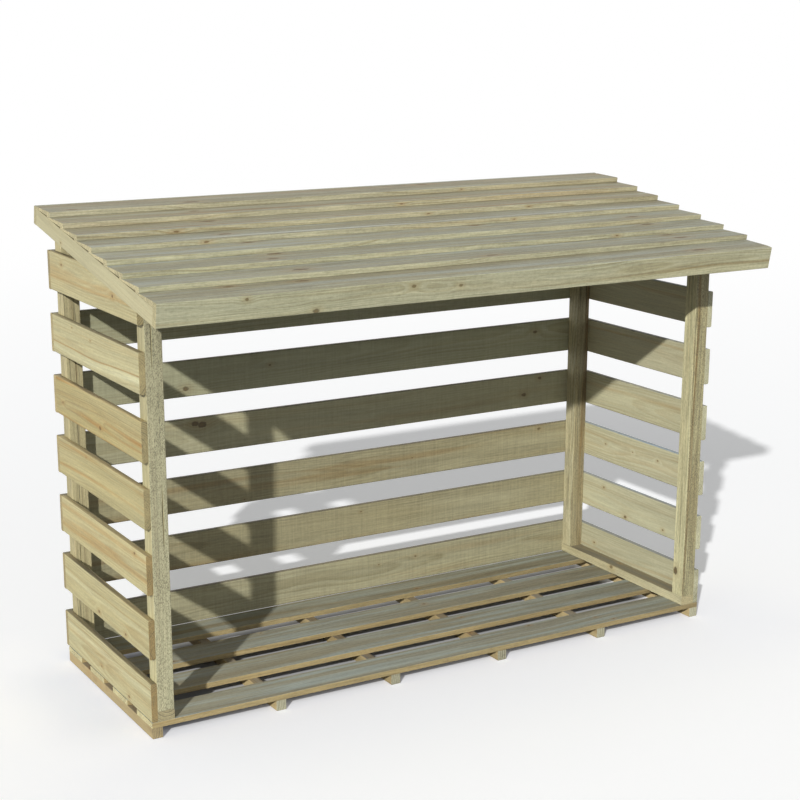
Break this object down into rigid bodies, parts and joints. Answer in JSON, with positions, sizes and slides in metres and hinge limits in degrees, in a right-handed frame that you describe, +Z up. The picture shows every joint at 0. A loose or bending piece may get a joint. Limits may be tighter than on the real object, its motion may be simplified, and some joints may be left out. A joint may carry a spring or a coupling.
{
  "type": "log store",
  "caption": "Open-fronted timber log store: slatted back and sides on a boarded floor with bearers, under a single-pitch overhanging roof of lapped feather-edge boards.",
  "frame": {"origin": "on the ground, under the middle of the store's bounding box", "axes": "+Z up, +X along the store to the right seen from the front, -Y out of the open front"},
  "size_m": [1.8, 0.8106, 1.2605],
  "materials": {
    "slat_wood": "planed pressure-treated softwood, pale yellow-green, matt",
    "frame_wood": "sawn pressure-treated softwood, grey-green, matt",
    "rafter_wood": "planed pressure-treated softwood, pale yellow-green, matt",
    "roof_wood": "sawn pressure-treated softwood, grey-green, matt",
    "base_wood": "sawn pressure-treated softwood, warm grey-green, matt"
  },
  "bodies": {
    "root": {"bearers": "base_wood", "floor_boards": "base_wood", "left_bottom_rail": "frame_wood", "right_bottom_rail": "frame_wood", "left_front_post": "frame_wood", "left_back_post": "frame_wood", "right_front_post": "frame_wood", "right_back_post": "frame_wood", "left_top_rail": "frame_wood", "right_top_rail": "frame_wood", "left_slat_1": "slat_wood", "left_slat_2": "slat_wood", "left_slat_3": "slat_wood", "left_slat_4": "slat_wood", "left_slat_5": "slat_wood", "left_slat_6": "slat_wood", "left_slat_7": "slat_wood", "right_slat_1": "slat_wood", "right_slat_2": "slat_wood", "right_slat_3": "slat_wood", "right_slat_4": "slat_wood", "right_slat_5": "slat_wood", "right_slat_6": "slat_wood", "right_slat_7": "slat_wood", "back_slat_1": "slat_wood", "back_slat_2": "slat_wood", "back_slat_3": "slat_wood", "back_slat_4": "slat_wood", "back_slat_5": "slat_wood", "back_slat_6": "slat_wood", "back_slat_7": "slat_wood", "left_rafter": "rafter_wood", "middle_rafter": "rafter_wood", "right_rafter": "rafter_wood", "front_fascia": "roof_wood", "rear_fascia": "roof_wood", "roof_board_1": "roof_wood", "roof_board_2": "roof_wood", "roof_board_3": "roof_wood", "roof_board_4": "roof_wood", "roof_board_5": "roof_wood", "roof_board_6": "roof_wood", "roof_board_7": "roof_wood", "roof_board_8": "roof_wood"}
  },
  "joints": []
}
